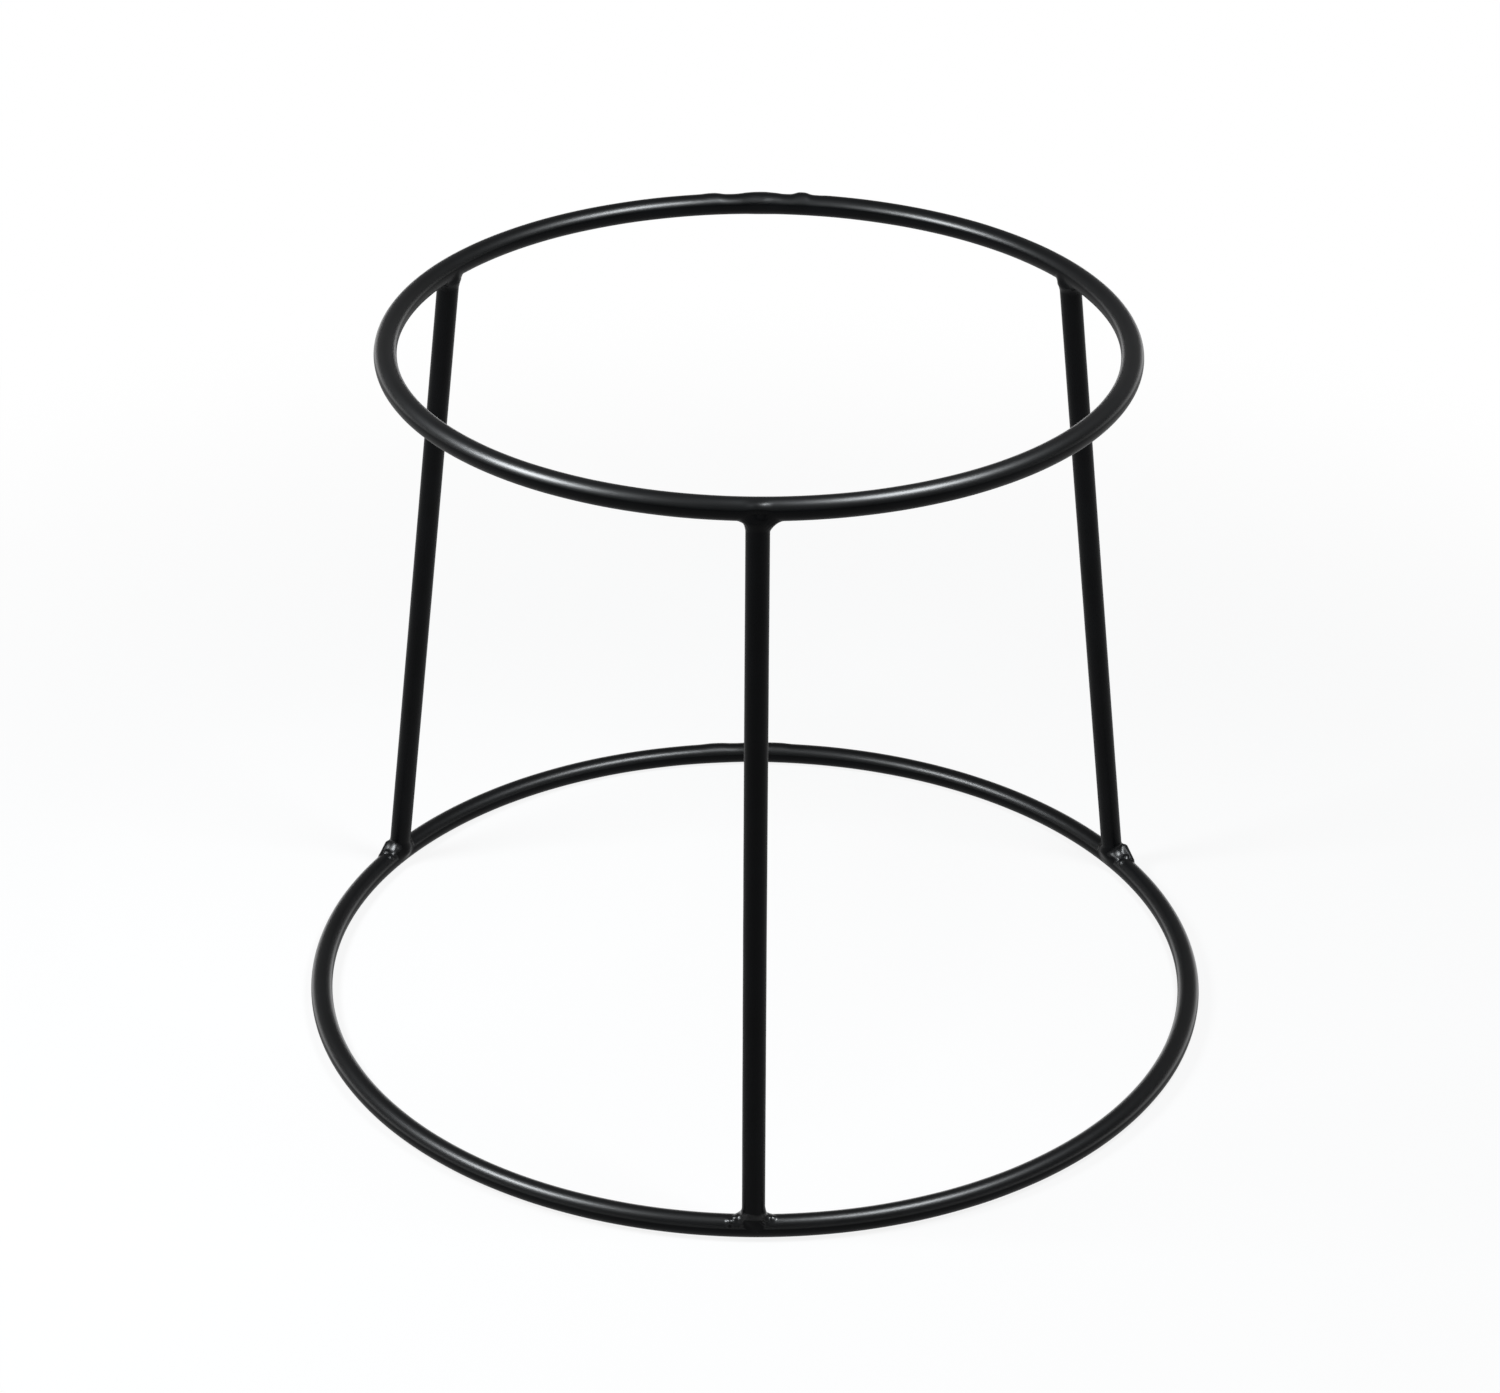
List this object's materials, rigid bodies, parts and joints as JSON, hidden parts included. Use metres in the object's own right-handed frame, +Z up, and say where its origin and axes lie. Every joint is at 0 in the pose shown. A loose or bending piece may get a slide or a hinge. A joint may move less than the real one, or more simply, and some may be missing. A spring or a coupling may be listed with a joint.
{
  "type": "plant stand",
  "caption": "Open round-rod plant stand: straight legs lean inwards from a wide base ring to a narrower top ring that holds a tapered pot.",
  "frame": {"origin": "on the floor, under the middle of the base ring", "axes": "+Z up the stand's axis; the front leg stands towards -Y and the rings' closing joints are at +Y"},
  "size_m": [0.376, 0.3769, 0.2988],
  "materials": {
    "rod_coat": "semi-gloss black powder coat",
    "weld_coat": "semi-gloss black powder coat over a weld bead"
  },
  "bodies": {
    "root": {"top_ring": "rod_coat", "base_ring": "rod_coat", "front_leg": "rod_coat", "rear_right_leg": "rod_coat", "rear_left_leg": "rod_coat", "front_top_weld": "weld_coat", "rear_right_top_weld": "weld_coat", "rear_left_top_weld": "weld_coat", "front_base_weld": "weld_coat", "rear_right_base_weld": "weld_coat", "rear_left_base_weld": "weld_coat", "top_ring_closing_weld": "weld_coat", "base_ring_closing_weld": "weld_coat"}
  },
  "joints": []
}
